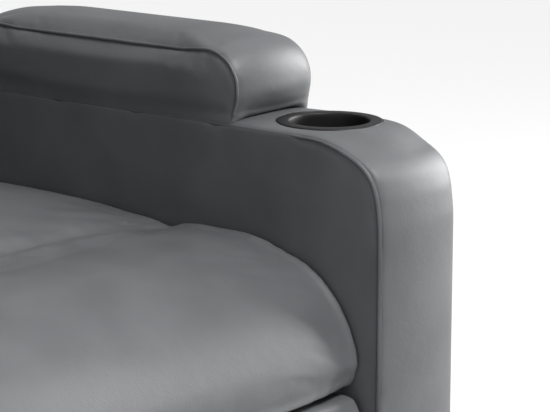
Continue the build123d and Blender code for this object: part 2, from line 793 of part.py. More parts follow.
# Rear rail and the massage control box on it, with its low-voltage inlet
rear_rail_span = (rear_rail_front, rear_rail_front + rear_rail_thickness)
save("rear_rail", block((-arm_inner, arm_inner), rear_rail_span, (rear_rail_low, rear_rail_high)))
control = block(
    (-control_half_width, control_half_width),
    (rear_rail_front - control_depth, rear_rail_front),
    (control_low, control_high),
)
control = fillet(control.edges().filter_by(Axis.Z).sort_by(Axis.Y)[:2], 6)
control -= Pos(0, rear_rail_front - control_depth / 2, control_low) * Cylinder(inlet_radius, 2 * inlet_depth)
save("control_box", control)

# Side pocket and the handset in it
pocket_out = arm_outer + stand_out
pocket = block((arm_outer, pocket_out), (pocket_front, pocket_rear), (pocket_low, pocket_high))
pocket = fillet(pocket.edges().group_by(Axis.X)[-1].sort_by(Axis.Z)[:-1], 2)
pocket -= block(
    (arm_outer - 1, pocket_out - pocket_wall),
    (pocket_front + pocket_wall, pocket_rear - pocket_wall),
    (pocket_low + pocket_wall, pocket_high + 1),
)
save("side_pocket", pocket)

handset_in = arm_outer + handset_play
handset_out = handset_in + handset_thickness
handset_split = (handset_in + handset_out) / 2
handset_run = (handset_front, handset_front + handset_width)
handset_span = (pocket_low + pocket_wall + soft_gap, pocket_low + pocket_wall + soft_gap + handset_height)
shell = block((handset_in, handset_out), handset_run, handset_span)
shell = fillet(shell.edges().filter_by(Axis.X), 10)
shell -= block(
    (handset_in + handset_wall, handset_out - handset_wall),
    (handset_run[0] + 5, handset_run[1] - 5),
    (handset_span[0] + 5, handset_span[1] - 5),
)
button_line = sum(handset_run) / 2
button_heights = [handset_span[1] - button_top_margin - i * button_spacing for i in range(3)]
button_room = [
    rod((handset_split, handset_out + 1), (button_line, height), button_radius + button_clearance)
    for height in button_heights
]
front_half = shell & block((handset_split, handset_out), handset_run, handset_span)
back_half = shell & block((handset_in, handset_split), handset_run, handset_span)
save("handset_front", front_half - button_room)
save("handset_back", back_half)
button_face = handset_out - handset_wall
for i, name in enumerate(("power_button", "mode_button", "heat_button")):
    spot = (button_line, button_heights[i])
    button = rod((button_face - 0.2, handset_out + button_proud), spot, button_radius)
    rim = (button_face - 0.2 - button_depth, button_face - 0.2)
    button += rod(rim, spot, button_radius + button_rim)
    save(name, button)
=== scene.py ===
import math

import bpy
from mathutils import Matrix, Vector, kdtree, noise


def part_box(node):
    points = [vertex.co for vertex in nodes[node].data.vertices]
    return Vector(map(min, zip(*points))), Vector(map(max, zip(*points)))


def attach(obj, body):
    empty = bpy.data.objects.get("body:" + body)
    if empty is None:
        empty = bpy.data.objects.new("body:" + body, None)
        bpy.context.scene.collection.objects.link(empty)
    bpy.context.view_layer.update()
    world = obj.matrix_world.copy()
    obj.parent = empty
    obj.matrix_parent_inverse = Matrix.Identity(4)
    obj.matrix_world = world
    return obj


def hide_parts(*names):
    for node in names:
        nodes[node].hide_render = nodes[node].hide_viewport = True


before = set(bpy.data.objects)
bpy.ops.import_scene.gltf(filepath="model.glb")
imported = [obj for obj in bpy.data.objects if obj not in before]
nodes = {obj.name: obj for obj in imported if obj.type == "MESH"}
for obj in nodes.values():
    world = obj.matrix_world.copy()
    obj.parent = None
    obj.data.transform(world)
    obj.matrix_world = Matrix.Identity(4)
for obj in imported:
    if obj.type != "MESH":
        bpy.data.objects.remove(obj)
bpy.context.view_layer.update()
scene = bpy.context.scene
mm = 0.001


# selecting and editing

def deselectAll():
    for obj in list(bpy.context.selected_objects):
        obj.select_set(False)


def activate(obj):
    deselectAll()
    obj.select_set(True)
    bpy.context.view_layer.objects.active = obj


def editMode(obj, kind="VERT"):
    activate(obj)
    bpy.ops.object.mode_set(mode="EDIT")
    bpy.ops.mesh.select_mode(type=kind)


def objectMode():
    bpy.ops.object.mode_set(mode="OBJECT")


def pick(obj, kind, test):
    # selects the vertices, edges or faces whose middle passes the test, and stays in edit mode
    editMode(obj, kind)
    bpy.ops.mesh.select_all(action="DESELECT")
    objectMode()
    mesh = obj.data
    if kind == "VERT":
        for vert in mesh.vertices:
            vert.select = bool(test(vert.co))
    elif kind == "EDGE":
        for edge in mesh.edges:
            a, b = (mesh.vertices[i].co for i in edge.vertices)
            edge.select = bool(test((a + b) / 2, (b - a).normalized()))
    else:
        for face in mesh.polygons:
            face.select = bool(test(face.center, face.normal))
    bpy.ops.object.mode_set(mode="EDIT")


def applyModifiers(obj):
    activate(obj)
    for modifier in list(obj.modifiers):
        bpy.ops.object.modifier_apply(modifier=modifier.name)


def subdivide(obj, levels, kind="CATMULL_CLARK"):
    rounder = obj.modifiers.new("round", "SUBSURF")
    rounder.subdivision_type = kind
    rounder.levels = levels
    rounder.render_levels = levels
    applyModifiers(obj)


def relax(obj, passes):
    ease = obj.modifiers.new("relax", "SMOOTH")
    ease.factor = 0.5
    ease.iterations = passes
    applyModifiers(obj)


def addWall(obj, thickness):
    wall = obj.modifiers.new("wall", "SOLIDIFY")
    wall.thickness = thickness
    wall.offset = -1
    applyModifiers(obj)


def closeMesh(obj, gap):
    editMode(obj)
    bpy.ops.mesh.select_all(action="SELECT")
    bpy.ops.mesh.remove_doubles(threshold=gap)
    bpy.ops.mesh.normals_make_consistent(inside=False)
    objectMode()


def copyNode(nodeName, name):
    mesh = nodes[nodeName].data.copy()
    mesh.name = name
    mesh.materials.clear()
    obj = bpy.data.objects.new(name, mesh)
    scene.collection.objects.link(obj)
    return obj


def addCube(name, low, high):
    deselectAll()
    middle = [(a + b) / 2 for a, b in zip(low, high)]
    size = [b - a for a, b in zip(low, high)]
    bpy.ops.mesh.primitive_cube_add(size=1, location=middle, scale=size)
    cube = bpy.context.active_object
    cube.name = name
    cube.data.name = name
    bpy.ops.object.transform_apply(location=True, rotation=True, scale=True)
    return cube


def smoothShade(obj, angle=35):
    activate(obj)
    bpy.ops.object.shade_smooth_by_angle(angle=math.radians(angle))


def placePiece(obj, material, body, slot, *replaced):
    obj.data.materials.append(material)
    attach(obj, body)
    if replaced:
        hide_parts(*replaced)
    print(obj.name, len(obj.data.polygons), "faces")


def within(share):
    # a share, held between none and all
    return min(1.0, max(0.0, share))


# materials

def linear(hexCode):
    channels = [int(hexCode[i:i + 2], 16) / 255 for i in (1, 3, 5)]
    return [c / 12.92 if c <= 0.04045 else ((c + 0.055) / 1.055) ** 2.4 for c in channels] + [1.0]


def addNode(tree, kind, settings=None, inputs=None):
    # inputs give each socket a value, or the output socket that feeds it
    node = tree.nodes.new(kind)
    for key, value in (settings or {}).items():
        setattr(node, key, value)
    for key, value in (inputs or {}).items():
        if isinstance(value, bpy.types.NodeSocket):
            tree.links.new(value, node.inputs[key])
        else:
            node.inputs[key].default_value = value
    return node


def newMaterial(name, roughness, ior=1.5, metallic=0.0):
    material = bpy.data.materials.new(name)
    material.use_nodes = True
    tree = material.node_tree
    shader = tree.nodes["Principled BSDF"]
    shader.inputs["Roughness"].default_value = roughness
    shader.inputs["Metallic"].default_value = metallic
    if not metallic:
        shader.inputs["IOR"].default_value = ior
    place = addNode(tree, "ShaderNodeTexCoord").outputs["Object"]
    return material, tree, shader, place


def twoTones(tree, factor, dark, pale, low=0.3, high=0.7):
    ramp = addNode(tree, "ShaderNodeValToRGB", inputs={"Fac": factor})
    ramp.color_ramp.elements[0].position = low
    ramp.color_ramp.elements[1].position = high
    ramp.color_ramp.elements[0].color = linear(dark)
    ramp.color_ramp.elements[1].color = linear(pale)
    return ramp.outputs["Color"]


def fauxLeather(name, facts):
    # polyurethane leather, embossed with a pebble grain: soft broad sheen, dark pits, faint stretch lines
    material, tree, shader, place = newMaterial(name, facts["roughness"], 1.48)
    pebble = addNode(tree, "ShaderNodeTexVoronoi", {"feature": "SMOOTH_F1"},
                     {"Vector": place, "Scale": 1 / (facts["grainMm"] * mm), "Smoothness": 0.5})
    crease = addNode(tree, "ShaderNodeTexNoise", None,
                     {"Vector": place, "Scale": 1 / (facts["creaseMm"] * mm), "Detail": 4.0,
                      "Roughness": 0.6})
    patch = addNode(tree, "ShaderNodeTexNoise", None,
                    {"Vector": place, "Scale": 1 / (facts["patchMm"] * mm), "Detail": 3.0})
    colour = twoTones(tree, patch.outputs["Fac"], facts["dark"], facts["pale"])
    tree.links.new(colour, shader.inputs["Base Color"])
    shine = addNode(tree, "ShaderNodeMapRange", None,
                    {"Value": patch.outputs["Fac"], "To Min": facts["roughness"] - 0.05,
                     "To Max": facts["roughness"] + 0.06})
    tree.links.new(shine.outputs["Result"], shader.inputs["Roughness"])
    wide = addNode(tree, "ShaderNodeBump", None,
                   {"Height": crease.outputs["Fac"], "Strength": facts["creaseStrength"],
                    "Distance": 1.2 * mm})
    fine = addNode(tree, "ShaderNodeBump", None,
                   {"Height": pebble.outputs["Distance"], "Strength": facts["grainStrength"],
                    "Distance": 0.25 * mm, "Normal": wide.outputs["Normal"]})
    tree.links.new(fine.outputs["Normal"], shader.inputs["Normal"])
    return material


leatherFacts = {
    "dark": "#4a4b4d", "pale": "#545557", "roughness": 0.5, "grainMm": 1.6, "grainStrength": 0.25,
    "creaseMm": 16.0, "creaseStrength": 0.22, "patchMm": 70.0,
}
leather = fauxLeather("greyFauxLeather", leatherFacts)
# the piping leather is toned darker than the cover leather: painted shade standing in for the shadow along
# the seams the piping lies in
weltLeatherPaintedShade = fauxLeather("weltFauxLeatherPaintedShade", {**leatherFacts, "dark": "#404144", "pale": "#4a4b4e"})
print("leathers mixed")


def mouldedPlastic(name, facts):
    # injection-moulded plastic: fine spark-eroded texture that breaks the highlight up a little
    material, tree, shader, place = newMaterial(name, facts["roughness"], 1.49)
    shader.inputs["Specular IOR Level"].default_value = facts["gloss"]
    grit = addNode(tree, "ShaderNodeTexNoise", None,
                   {"Vector": place, "Scale": 1 / (facts["gritMm"] * mm), "Detail": 2.0})
    tone = addNode(tree, "ShaderNodeTexNoise", None,
                   {"Vector": place, "Scale": 1 / (facts["patchMm"] * mm), "Detail": 2.0})
    colour = twoTones(tree, tone.outputs["Fac"], facts["dark"], facts["pale"])
    tree.links.new(colour, shader.inputs["Base Color"])
    bump = addNode(tree, "ShaderNodeBump", None,
                   {"Height": grit.outputs["Fac"], "Strength": facts["gritStrength"], "Distance": 0.2 * mm})
    tree.links.new(bump.outputs["Normal"], shader.inputs["Normal"])
    return material


plasticFacts = {"gloss": 0.5, "patchMm": 40.0, "gritMm": 1.0, "gritStrength": 0.2}
cupPlastic = mouldedPlastic("blackAbs", {
    **plasticFacts, "dark": "#0d0d0f", "pale": "#131315", "roughness": 0.5, "gloss": 0.26, "gritMm": 1.2})
caseAbs = mouldedPlastic("charcoalAbs", {
    **plasticFacts, "dark": "#1b1c1e", "pale": "#232426", "roughness": 0.42, "gritStrength": 0.25})
footPolypropylene = mouldedPlastic("footPolypropylene", {
    **plasticFacts, "dark": "#111112", "pale": "#19191a", "roughness": 0.55, "gritMm": 1.5,
    "gritStrength": 0.3})
buttonRubber = mouldedPlastic("siliconeRubber", {
    **plasticFacts, "dark": "#6c6e73", "pale": "#777a7f", "roughness": 0.62, "gritMm": 0.8})


def powderCoat(name, facts):
    # powder-coated steel: slight orange peel under a satin black film
    material, tree, shader, place = newMaterial(name, facts["roughness"], 1.5)
    peel = addNode(tree, "ShaderNodeTexNoise", None,
                   {"Vector": place, "Scale": 1 / (facts["peelMm"] * mm), "Detail": 1.0})
    wear = addNode(tree, "ShaderNodeTexNoise", None,
                   {"Vector": place, "Scale": 1 / (facts["wearMm"] * mm), "Detail": 5.0})
    colour = twoTones(tree, wear.outputs["Fac"], facts["dark"], facts["pale"], 0.4, 0.75)
    tree.links.new(colour, shader.inputs["Base Color"])
    bump = addNode(tree, "ShaderNodeBump", None,
                   {"Height": peel.outputs["Fac"], "Strength": 0.25, "Distance": 0.2 * mm})
    tree.links.new(bump.outputs["Normal"], shader.inputs["Normal"])
    return material


blackSteel = powderCoat("powderCoatedSteel", {
    "dark": "#121213", "pale": "#1e1e20", "roughness": 0.4, "peelMm": 2.0, "wearMm": 25.0})


def platedSteel(name, facts):
    # zinc-plated steel: pale grey metal with a spangle of duller patches
    material, tree, shader, place = newMaterial(name, facts["roughness"], metallic=1.0)
    spangle = addNode(tree, "ShaderNodeTexVoronoi", None,
                      {"Vector": place, "Scale": 1 / (facts["spangleMm"] * mm)})
    tone = addNode(tree, "ShaderNodeSeparateColor", None, {"Color": spangle.outputs["Color"]}).outputs["Red"]
    colour = twoTones(tree, tone, facts["dark"], facts["pale"], 0.1, 0.9)
    tree.links.new(colour, shader.inputs["Base Color"])
    shine = addNode(tree, "ShaderNodeMapRange", None,
                    {"Value": tone, "To Min": facts["roughness"] - 0.06, "To Max": facts["roughness"] + 0.08})
    tree.links.new(shine.outputs["Result"], shader.inputs["Roughness"])
    return material


zincSteel = platedSteel("zincPlatedSteel", {
    "dark": "#a7abae", "pale": "#c2c5c6", "roughness": 0.34, "spangleMm": 5.0})


def sawnTimber(name, facts):
    # sawn pine and ply: pale earlywood with darker growth lines, dry and matt
    material, tree, shader, place = newMaterial(name, facts["roughness"], 1.45)
    stretched = addNode(tree, "ShaderNodeMapping", None, {"Vector": place, "Scale": facts["stretch"]})
    wander = addNode(tree, "ShaderNodeTexNoise", None,
                     {"Vector": stretched.outputs["Vector"], "Scale": 12.0, "Detail": 4.0})
    rings = addNode(tree, "ShaderNodeTexWave", {"wave_type": "BANDS", "bands_direction": "DIAGONAL"},
                    {"Vector": stretched.outputs["Vector"], "Scale": 1 / (facts["ringMm"] * 6 * mm),
                     "Distortion": 5.0, "Detail": 3.0, "Detail Scale": 1.5})
    both = addNode(tree, "ShaderNodeMath", {"operation": "MULTIPLY"},
                   {0: rings.outputs["Fac"], 1: wander.outputs["Fac"]})
    colour = twoTones(tree, both.outputs["Value"], facts["pale"], facts["dark"], 0.1, 0.75)
    tree.links.new(colour, shader.inputs["Base Color"])
    bump = addNode(tree, "ShaderNodeBump", None,
                   {"Height": both.outputs["Value"], "Strength": 0.2, "Distance": 0.4 * mm})
    tree.links.new(bump.outputs["Normal"], shader.inputs["Normal"])
    return material


pine = sawnTimber("sawnPine", {
    "dark": "#a8814f", "pale": "#d3b483", "roughness": 0.72, "ringMm": 5.0, "stretch": (1.0, 0.25, 1.0)})
print("hard finishes mixed")


# cushions: a copy of the solid is remeshed, drawn in, blown up as cloth, and then sewn

def sewLine(obj, distance, depth, width, pucker, wave):
    # draws the cover in along a line; distance gives (how far a point is from it, how far along it is)
    normals = [vert.normal.copy() for vert in obj.data.vertices]
    for vert, normal in zip(obj.data.vertices, normals):
        away, along = distance(vert.co)
        if away is None or away > 4 * width:
            continue
        fall = math.exp(-(away / width) ** 2)
        wide = math.exp(-(away / (2.6 * width)) ** 2) - fall
        ripple = noise.noise(Vector((along / wave, away / (40 * mm), 0.37)))
        vert.co -= normal * (depth * fall + pucker * wide * ripple)
    obj.data.update()


def puffCushion(nodeName, pieceName, facts, isPinned):
    obj = copyNode(nodeName, pieceName)
    mesh = obj.data
    closeMesh(obj, 0.01 * mm)
    mesh.remesh_voxel_size = facts["voxelMm"] * mm
    activate(obj)
    bpy.ops.object.voxel_remesh()
    relax(obj, facts["relax"])
    normals = [vert.normal.copy() for vert in mesh.vertices]
    for vert, normal in zip(mesh.vertices, normals):  # drawn in where it can swell again
        if not isPinned(vert.co):
            vert.co -= normal * facts["drawMm"] * mm
    mesh.update()
    blowUp(obj, facts, isPinned)
    return obj


def blowUp(obj, facts, isPinned):
    start = [vert.co.copy() for vert in obj.data.vertices]
    held = obj.vertex_groups.new(name="sewn")
    held.add([vert.index for vert in obj.data.vertices if isPinned(vert.co)], 1.0, "REPLACE")
    cloth = obj.modifiers.new("inflate", "CLOTH")
    cloth.settings.quality = 5
    cloth.settings.mass = 0.3
    cloth.settings.tension_stiffness = facts["stiffness"]
    cloth.settings.compression_stiffness = facts["stiffness"]
    cloth.settings.shear_stiffness = facts["stiffness"] / 3
    cloth.settings.bending_stiffness = facts["bending"]
    cloth.settings.use_pressure = True
    cloth.settings.uniform_pressure_force = facts["pressure"]
    cloth.settings.vertex_group_mass = "sewn"
    cloth.settings.effector_weights.gravity = 0
    cloth.point_cache.frame_start = 1
    cloth.point_cache.frame_end = facts["frames"]
    for step in range(1, facts["frames"] + 1):
        scene.frame_set(step)
    activate(obj)
    bpy.ops.object.modifier_apply(modifier=cloth.name)
    scene.frame_set(1)
    cap = facts["capMm"] * mm
    for vert, old in zip(obj.data.vertices, start):
        move = vert.co - old
        if move.length > cap:
            vert.co = old + move * (cap / move.length)
    obj.vertex_groups.clear()
    relax(obj, facts["settle"])


def fillCorner(obj, corner, test):
    # a round edge is filled out towards its corner; centre and reach are in mm along the two axes
    first, second = corner["axes"]
    centre, reach, power = corner["centre"], corner["reach"], corner["power"]
    for vert in obj.data.vertices:
        if not test(vert.co):
            continue
        side = -1 if first == 0 and vert.co.x < 0 else 1
        a = (side * vert.co[first] / mm - centre[0]) / reach[0]
        b = (vert.co[second] / mm - centre[1]) / reach[1]
        if a > 0 and b > 0 and max(a, b) < 1:
            grow = min(math.hypot(a, b) / (a ** power + b ** power) ** (1 / power), 1 / max(a, b))
            vert.co[first] = side * (centre[0] + reach[0] * a * grow) * mm
            vert.co[second] = (centre[1] + reach[1] * b * grow) * mm
    obj.data.update()


strandStep = 6 * mm  # no edge of a strand is longer


def seamStrand(nodeName, name, test):
    # the solid's sharp edges that pass the test, as a strand of short edges
    strand = copyNode(nodeName, name)
    mesh = strand.data
    editMode(strand, "EDGE")
    bpy.ops.mesh.select_all(action="SELECT")
    bpy.ops.mesh.remove_doubles(threshold=0.01 * mm)
    bpy.ops.mesh.select_all(action="DESELECT")
    bpy.ops.mesh.edges_select_sharp(sharpness=math.radians(25))
    objectMode()
    for edge in mesh.edges:
        a, b = (mesh.vertices[i].co for i in edge.vertices)
        edge.select = edge.select and bool(test((a + b) / 2))
    bpy.ops.object.mode_set(mode="EDIT")
    bpy.ops.mesh.select_all(action="INVERT")
    bpy.ops.mesh.delete(type="EDGE_FACE")
    bpy.ops.mesh.select_all(action="SELECT")
    bpy.ops.mesh.delete_loose(use_verts=True, use_edges=False, use_faces=False)
    for passes in range(6):
        objectMode()
        for edge in mesh.edges:
            a, b = (mesh.vertices[i].co for i in edge.vertices)
            edge.select = (a - b).length > strandStep
        if not any(edge.select for edge in mesh.edges):
            break
        bpy.ops.object.mode_set(mode="EDIT")
        bpy.ops.mesh.subdivide(number_cuts=1)
    objectMode()
    return strand


def lieOn(strand, obj, offset):
    wrap = strand.modifiers.new("lie", "SHRINKWRAP")
    wrap.target = obj
    wrap.wrap_method = "NEAREST_SURFACEPOINT"
    wrap.wrap_mode = "ABOVE_SURFACE"
    wrap.offset = offset
    applyModifiers(strand)
    relax(strand, 4)


def roundStrand(strand, radius, thickness=None):
    # thickness gives a share of the radius at a point of the strand
    activate(strand)
    bpy.ops.object.convert(target="CURVE")
    if thickness:
        for spline in strand.data.splines:
            for point in spline.points:
                point.radius = thickness(point.co)
    strand.data.bevel_depth = radius
    strand.data.bevel_resolution = 3
    strand.data.use_fill_caps = True
    activate(strand)
    bpy.ops.object.convert(target="MESH")
    strand.data.name = strand.name
    closeMesh(strand, 0.005 * mm)
    bpy.ops.object.shade_smooth()


def pipeSeam(obj, nodeName, name, body, facts, test):
    # a seam with its piping: the cover is drawn in along it and the piping lies in the fold
    strand = seamStrand(nodeName, name, test)
    lieOn(strand, obj, 0)
    points = kdtree.KDTree(len(strand.data.vertices))
    for vert in strand.data.vertices:
        points.insert(vert.co, vert.index)
    points.balance()
    sewLine(obj, lambda co: (points.find(co)[2], points.find(co)[1] * 4 * mm), facts["foldMm"] * mm,
            facts["foldWidthMm"] * mm, facts["puckerMm"] * mm, facts["puckerWaveMm"] * mm)
    lieOn(strand, obj, facts["pipeOutMm"] * mm)
    roundStrand(strand, facts["pipeMm"] / 2 * mm)
    placePiece(strand, weltLeatherPaintedShade, body, "faux_leather")


def finishCushion(obj, body, nodeName):
    subdivide(obj, 1)
    activate(obj)
    bpy.ops.object.shade_smooth()
    placePiece(obj, leather, body, "padded_leather", nodeName)


cushionFacts = {
    "voxelMm": 7.0, "relax": 3, "drawMm": 5.0, "stiffness": 12.0, "bending": 0.4, "pressure": 4.0,
    "frames": 16, "capMm": 12.0, "settle": 4,
}

seatFacts = {
    **cushionFacts, "voxelMm": 6.0, "relax": 2, "drawMm": 4.0, "settle": 3,
    "underMm": 75.0, "noseMm": 60.0, "endMm": 9.0, "hemMm": 6.0, "tackMm": 5.0,  # where the cover is held
    "channelY": -173 * mm, "channelMm": 3.5, "channelWidthMm": 10.0, "channelAboveMm": 110.0,
    "bowMm": 6.0, "bowWaveMm": 90.0, "puckerMm": 3.0, "puckerWaveMm": 18.0,
    "rollStart": -178 * mm, "rollFade": 40 * mm, "flattenMm": 8.0,
    "crestY": -205 * mm, "crestAhead": 85 * mm, "crestBehind": 32 * mm, "crestMm": 6.5, "crestMiddleMm": -3.2,
    "shoulderY": -378 * mm, "shoulderReach": 50 * mm, "shoulderMm": 4.0,
    "tailStart": 88 * mm, "tailMm": 46.0, "tailTop": 464 * mm, "tailBaseMm": 67.0, "tailDropMm": 7.0,
    "endCorner": {"axes": (0, 2), "centre": (244, 336), "reach": (14, -14), "power": 5}, "cornerY": -0.36,
}
seatLow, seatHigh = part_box("seat_cushion")


def seatHeld(co):
    facts = seatFacts
    under = co.z < seatLow.z + facts["underMm"] * mm and co.y > seatLow.y + facts["noseMm"] * mm
    end = abs(co.x) > seatHigh.x - facts["endMm"] * mm
    hem = co.z < seatLow.z + facts["hemMm"] * mm
    return under or end or hem or abs(co.y - facts["channelY"]) < facts["tackMm"] * mm


def seatChannel(co):
    facts = seatFacts
    if co.z < seatLow.z + facts["channelAboveMm"] * mm:
        return None, 0
    bow = facts["bowMm"] * mm * math.cos(co.x / facts["bowWaveMm"] / mm)
    return abs(co.y - facts["channelY"] - bow), co.x


def shapeRoll(obj):
    # the front roll runs nearly straight from arm to arm, low at its crest and full at the ends' shoulders
    facts = seatFacts
    normals = [vert.normal.copy() for vert in obj.data.vertices]
    for vert, normal in zip(obj.data.vertices, normals):
        across = 1 - (vert.co.x / seatHigh.x) ** 2
        fromCrest = vert.co.y - facts["crestY"]
        crestReach = facts["crestAhead"] if fromCrest < 0 else facts["crestBehind"]
        crest = within(1 - (fromCrest / crestReach) ** 2)
        fromShoulder = (vert.co.y - facts["shoulderY"]) / facts["shoulderReach"]
        shoulder = within(1 - fromShoulder ** 2)
        shoulder *= within((normal.z + 0.2) / 0.4) * within((0.3 - normal.y) / 0.3)
        ahead = within((facts["rollStart"] - vert.co.y) / facts["rollFade"])
        flat = ahead * within((0.5 - normal.y) / 0.3) * within((normal.z + 0.75) / 0.3)
        outward = Vector((0, normal.y, normal.z))
        slope = outward.length
        if slope > 0.01:
            out = facts["shoulderMm"] * shoulder * (1 - across) * slope - facts["flattenMm"] * across * flat
            vert.co += outward / slope * out * mm
        drop = facts["crestMm"] + facts["crestMiddleMm"] * across
        vert.co.z -= drop * mm * crest * max(0.0, normal.z)
    obj.data.update()


def taperTail(obj):
    # the rear end slopes down and back, tucked in under the lumbar row
    facts = seatFacts
    base = seatLow.z + facts["tailBaseMm"] * mm
    for vert in obj.data.vertices:
        share = within((vert.co.y - facts["tailStart"]) / (seatHigh.y - facts["tailStart"]))
        height = within((vert.co.z - base) / (facts["tailTop"] - base))
        vert.co.y += facts["tailMm"] * mm * share ** 2 * (1 - height)
        vert.co.z -= facts["tailDropMm"] * mm * share ** 3 * height
    obj.data.update()


seat = puffCushion("seat_cushion", "seatCushion", seatFacts, seatHeld)
shapeRoll(seat)
taperTail(seat)
fillCorner(seat, seatFacts["endCorner"], lambda co: co.y < seatFacts["cornerY"])
sewLine(seat, seatChannel, seatFacts["channelMm"] * mm, seatFacts["channelWidthMm"] * mm,
        seatFacts["puckerMm"] * mm, seatFacts["puckerWaveMm"] * mm)
finishCushion(seat, "frame", "seat_cushion")


restFacts = {
    **cushionFacts, "voxelMm": 5.0, "relax": 2, "drawMm": 3.0, "capMm": 9.0, "settle": 3,
    "backMm": 12.0, "endMm": 7.0, "topMm": 10.0,  # where the cover is held
    "topCorner": {"axes": (1, 2), "centre": (-400, 298), "reach": (-25, 19.5), "power": 3.6},
}
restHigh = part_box("footrest_cushion")[1]


def restHeld(co):
    back, end, top = (restFacts[key] * mm for key in ("backMm", "endMm", "topMm"))
    return co.y > restHigh.y - back or abs(co.x) > restHigh.x - end or co.z > restHigh.z - top


footrest = puffCushion("footrest_cushion", "footrestCushion", restFacts, restHeld)
fillCorner(footrest, restFacts["topCorner"], lambda co: True)
finishCushion(footrest, "footrest", "footrest_cushion")

boardFacts = {"roundMm": 4.0, "hemMm": 16.0, "hemDepthMm": 0.9, "hemWidthMm": 2.5}


def footrestBoard():
    # the board behind the pad, with the leather turned over its edges and stapled flat
    facts = {key: value * mm for key, value in boardFacts.items()}
    low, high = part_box("footrest_board")
    obj = addCube("footrestBoard", low, high)
    pick(obj, "EDGE", lambda mid, way: True)
    bpy.ops.mesh.bevel(offset=facts["roundMm"], segments=3, affect="EDGES")
    objectMode()
    pick(obj, "FACE", lambda mid, normal: normal.y > 0.9)
    bpy.ops.mesh.inset(thickness=facts["hemMm"] - facts["hemWidthMm"])
    bpy.ops.mesh.inset(thickness=facts["hemWidthMm"], depth=-facts["hemDepthMm"])
    objectMode()
    smoothShade(obj, 40)
    placePiece(obj, leather, "footrest", "faux_leather", "footrest_board")


footrestBoard()

backFacts = {
    **cushionFacts, "drawMm": 6.0, "capMm": 14.0, "sewnMm": 42.0, "meetMm": 3.0, "meetReachMm": 62.0,
}
lean = math.radians(15)
backPivot = Vector((0, 200 * mm, 330 * mm))


def backPlace(co):
    # how far in front of the back frame's pivot plane a point lies, and how far up the back
    y, z = co.y - backPivot.y, co.z - backPivot.z
    return -(y * math.cos(lean) - z * math.sin(lean)), y * math.sin(lean) + z * math.cos(lean)


for nodeName, pieceName in (("lumbar_cushion", "lumbarCushion"), ("upper_back_cushion", "upperBackCushion"),
                            ("head_cushion", "headCushion")):
    pillow = puffCushion(nodeName, pieceName, backFacts,
                         lambda co: backPlace(co)[0] < backFacts["sewnMm"] * mm)
    ends = [backPlace(vert.co)[1] for vert in pillow.data.vertices]
    middle = (min(ends) + max(ends)) / 2
    for vert in pillow.data.vertices:  # the rows are sewn to each other along their base
        ahead, up = backPlace(vert.co)
        reach = max(0.0, 1 - ahead / backFacts["meetReachMm"] / mm)
        share = (up - middle) / (max(ends) - middle)
        vert.co += Vector((0, math.sin(lean), math.cos(lean))) * backFacts["meetMm"] * mm * reach * share
    pillow.data.update()
    finishCushion(pillow, "backrest", nodeName)

padFacts = {
    **cushionFacts, "voxelMm": 4.0, "relax": 2, "drawMm": 2.5, "capMm": 6.0, "pressure": 2.5, "settle": 2,
    "restMm": 9.0, "seamAboveMm": 5.0, "foldMm": 1.5, "foldWidthMm": 4.0, "puckerMm": 0.5,
    "puckerWaveMm": 20.0, "pipeMm": 3.5, "pipeOutMm": 0.6, "topShare": 0.75,
    "outerRollMm": 21.0, "shoulderMm": 46.0, "footMm": 8.0, "outerFootMm": 13.0, "frontFootMm": 4.5,
    "footReachMm": 26.0, "footRiseMm": 22.0, "widenMm": 9.0,
}
padLow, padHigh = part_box("left_arm_pad")


def rollOff(distance, radius):
    # how far a round edge has fallen away at that distance from its end, short of upright there
    gone = min(radius, max(0.0, radius - distance))
    return radius - math.sqrt(radius ** 2 - 0.92 * gone ** 2)


def shapePad(obj):
    # the outer edge is rounded off over the top and front, and the foot laps over the arm's rounded edges
    facts = padFacts
    reach, shoulder = facts["footReachMm"] * mm, facts["shoulderMm"] * mm
    for vert in obj.data.vertices:
        fallen = rollOff(padHigh.x - abs(vert.co.x), facts["outerRollMm"] * mm)
        up = within((vert.co.z - padHigh.z + 1.3 * shoulder) / shoulder)
        ahead = within((padLow.y + shoulder - vert.co.y) / shoulder)
        vert.co.z -= facts["topShare"] * fallen * up
        vert.co.y += fallen * ahead
        low = max(0.0, 1 - (vert.co.z - padLow.z) / (facts["footRiseMm"] * mm))
        vert.co.z -= mm * low * max(
            0.0, facts["footMm"] * (1 - (abs(vert.co.x) - padLow.x) / reach),
            facts["outerFootMm"] * (1 - (padHigh.x - abs(vert.co.x)) / reach),
            facts["frontFootMm"] * (1 - (vert.co.y - padLow.y) / reach))
        across = within((abs(vert.co.x) - padLow.x) / (padHigh.x - padLow.x))
        vert.co.x += math.copysign(facts["widenMm"] * mm * across ** 2, vert.co.x)
    obj.data.update()


for side, sign in (("left", 1), ("right", -1)):
    pad = puffCushion(side + "_arm_pad", side + "ArmPad", padFacts,
                      lambda co: co.z < padLow.z + padFacts["restMm"] * mm)
    shapePad(pad)
    pipeSeam(pad, side + "_arm_pad", side + "PadPiping", "frame", padFacts,
             lambda mid: abs(mid.x - sign * padLow.x) < 0.5 * mm
             and mid.z > padLow.z + padFacts["seamAboveMm"] * mm)
    finishCushion(pad, "frame", side + "_arm_pad")


# arms: a block with a rolled front, crowned across its boxing strip, with a welt along the inner seam

